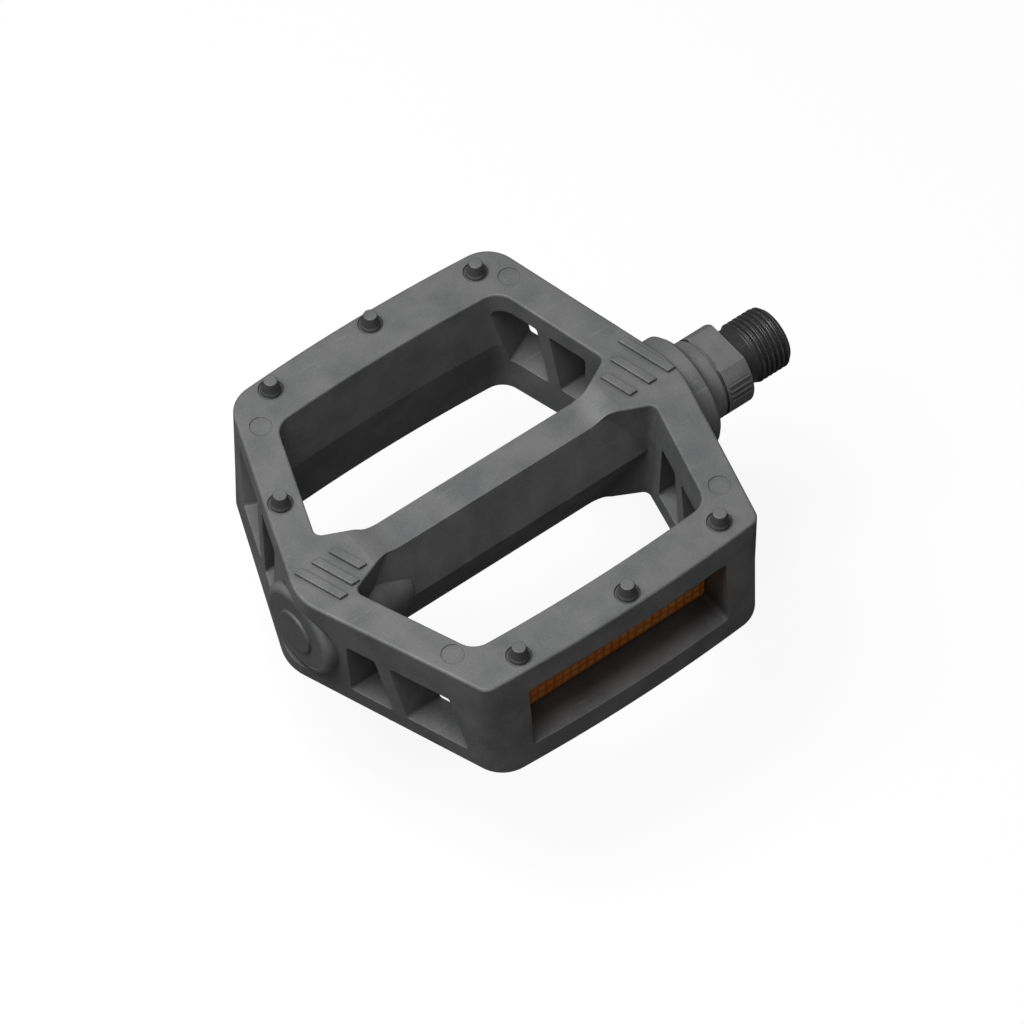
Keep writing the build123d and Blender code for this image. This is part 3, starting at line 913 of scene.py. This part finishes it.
@dataclass
class Reflector(SubAssembly):
    """Amber lens with a prism back, on its white backing."""

    edge: Edge
    prism_pitch: float = PRISM_PITCH
    prism_depth: float = 0.75 * MM
    rim: float = 0.9 * MM
    crease: float = 10.0

    def lens(self) -> bmesh.types.BMesh:
        """Closed lens: smooth outer face, rows of four-sided prisms on the back.

        Returns:
            The new bmesh.
        """
        low, high = (Vector(corner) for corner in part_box(f"{self.edge.value}_reflector_lens"))
        outward = 1 if self.edge is Edge.FRONT else -1
        face_x = high.x if outward > 0 else low.x
        back_x = low.x if outward > 0 else high.x
        ys = self.grid(low.y, high.y)
        zs = self.grid(low.z, high.z)
        shape = bmesh.new()
        back = [[shape.verts.new((back_x, y, z)) for z in zs] for y in ys]
        for i in range(len(ys) - 1):
            for j in range(len(zs) - 1):
                corners = (back[i][j], back[i + 1][j], back[i + 1][j + 1], back[i][j + 1])
                if 0 < i < len(ys) - 2 and 0 < j < len(zs) - 2:
                    middle = sum((corner.co for corner in corners), Vector()) / 4
                    middle.x += outward * self.prism_depth
                    peak = shape.verts.new(middle)
                    for first, second in zip(corners, corners[1:] + corners[:1]):
                        shape.faces.new((first, second, peak))
                else:
                    shape.faces.new(corners)
        loop = back[0][:] + [column[-1] for column in back[1:]]
        loop += back[-1][-2::-1] + [column[0] for column in back[-2:0:-1]]
        outer = [shape.verts.new((face_x, vert.co.y, vert.co.z)) for vert in loop]
        for k, vert in enumerate(loop):
            after = (k + 1) % len(loop)
            shape.faces.new((vert, loop[after], outer[after], outer[k]))
        shape.faces.new(outer)
        return shape

    def grid(self, low: float, high: float) -> list[float]:
        """Borders of the prisms between the two rims, and the two outside limits.

        Args:
            low: Lower outside limit.
            high: Upper outside limit.

        Returns:
            The coordinates, from low to high.
        """
        span = high - low - 2 * self.rim
        count = round(span / self.prism_pitch)
        return [low, *(low + self.rim + span * (i / count) for i in range(count + 1)), high]

    def build(self, groups: EffectGroups) -> list[str]:
        """Builds the lens and dresses it with its backing.

        Args:
            groups: Shared node groups.

        Returns:
            Names of the pieces.
        """
        node = f"{self.edge.value}_reflector_lens"
        backing = f"{self.edge.value}_reflector_backing"
        lens = object_from(self.lens(), f"{self.edge.value}_prism_lens", self.crease)
        dress(lens, AMBER, groups)
        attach(lens, Body.PLATFORM.value)
        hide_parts(node)
        return [lens.name] + self.dress_nodes({backing: BACKING_SKIN}, groups)


# ------------------------------------------------------------------ stage
@dataclass
class Lamp:
    """One rectangular soft light."""

    name: str
    azimuth: float
    elevation: float
    power: float
    size: float
    distance: float = 0.7

    def build(self, target: Vector) -> None:
        """Adds the light, aimed at the target.

        Args:
            target: Point that the light looks at.
        """
        light = bpy.data.lights.new(self.name, "AREA")
        light.energy = self.power
        light.size = self.size
        lamp = bpy.data.objects.new(self.name, light)
        bpy.context.scene.collection.objects.link(lamp)
        back = direction_from(self.azimuth, self.elevation)
        lamp.location = target + back * self.distance
        lamp.rotation_euler = back.to_track_quat("Z", "Y").to_euler()


def direction_from(azimuth: float, elevation: float) -> Vector:
    """Unit vector from the object toward a viewer.

    Args:
        azimuth: Degrees; 0 looks along +Y and 90 along -X.
        elevation: Degrees above the horizon.

    Returns:
        The unit vector.
    """
    turn = math.radians(azimuth)
    lift = math.radians(elevation)
    level = math.cos(lift)
    return Vector((math.sin(turn) * level, -math.cos(turn) * level, math.sin(lift)))


@dataclass
class Studio:
    """Floor, lights and camera."""

    azimuth: float = 52.42
    elevation: float = 54.15
    distance: float = 1.1
    lens: float = 188.2
    sensor_width: float = 36.0
    clip_end: float = 20.0
    target: Vector = field(default_factory=lambda: Vector((3.11 * MM, -59.22 * MM, 0.0)))
    floor_size: float = 6.0
    floor_gap: float = 0.2 * MM
    world_strength: float = 0.13
    lamps: tuple[Lamp, ...] = (
        Lamp("key_light", azimuth=-15.0, elevation=70.0, power=6.6, size=0.45),
        Lamp("fill_light", azimuth=75.0, elevation=40.0, power=0.3, size=0.6),
    )

    def build(self, groups: EffectGroups) -> None:
        """Builds the stage.

        Args:
            groups: Shared node groups.
        """
        self.build_floor(groups)
        self.build_world()
        for lamp in self.lamps:
            lamp.build(self.target)
        self.build_camera()

    def build_floor(self, groups: EffectGroups) -> None:
        """Pale floor just under the circle that the turning platform sweeps.

        Args:
            groups: Shared node groups.
        """
        _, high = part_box("platform_body")
        half = self.floor_size / 2
        level = -math.hypot(high[0], high[2]) - self.floor_gap
        shape = bmesh.new()
        corners = [(-half, -half), (half, -half), (half, half), (-half, half)]
        shape.faces.new([shape.verts.new((x, y, level)) for x, y in corners])
        floor = object_from(shape, "floor")
        dress(floor, StudioSurface("floor_pale"), groups)

    def build_world(self) -> None:
        """Even pale surroundings: white to the eye, dimmer as light."""
        world = bpy.data.worlds.new("surroundings")
        world.use_nodes = True
        world.node_tree.nodes.clear()
        bench = NodeBench(world.node_tree)
        eye = bench.add("ShaderNodeLightPath").outputs["Is Camera Ray"]
        strength = bench.remap(eye, 0.0, 1.0, self.world_strength, 1.0)
        back = bench.add("ShaderNodeBackground", {"Color": (1.0, 1.0, 1.0), "Strength": strength})
        bench.add("ShaderNodeOutputWorld", {"Surface": back.outputs[0]})
        bpy.context.scene.world = world

    def build_camera(self) -> None:
        """Long-lens camera at the viewing angle."""
        data = bpy.data.cameras.new("camera")
        data.lens = self.lens
        data.sensor_width = self.sensor_width
        data.clip_end = self.clip_end
        camera = bpy.data.objects.new("camera", data)
        bpy.context.scene.collection.objects.link(camera)
        back = direction_from(self.azimuth, self.elevation)
        camera.location = self.target + back * self.distance
        camera.rotation_euler = back.to_track_quat("Z", "Y").to_euler()
        bpy.context.scene.camera = camera


def main() -> None:
    logging.basicConfig(level=logging.INFO, format="%(name)s: %(message)s")
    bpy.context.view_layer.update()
    bpy.context.scene.view_settings.view_transform = "Standard"
    groups = EffectGroups()
    assemblies = (
        Platform(), Bearings(), Spindle(), Reflector(Edge.FRONT), Reflector(Edge.REAR),
    )
    for assembly in assemblies:
        for name in assembly.build(groups):
            LOG.info("%s: %s", type(assembly).__name__, name)
    Studio().build(groups)


if __name__ == "__main__":
    main()
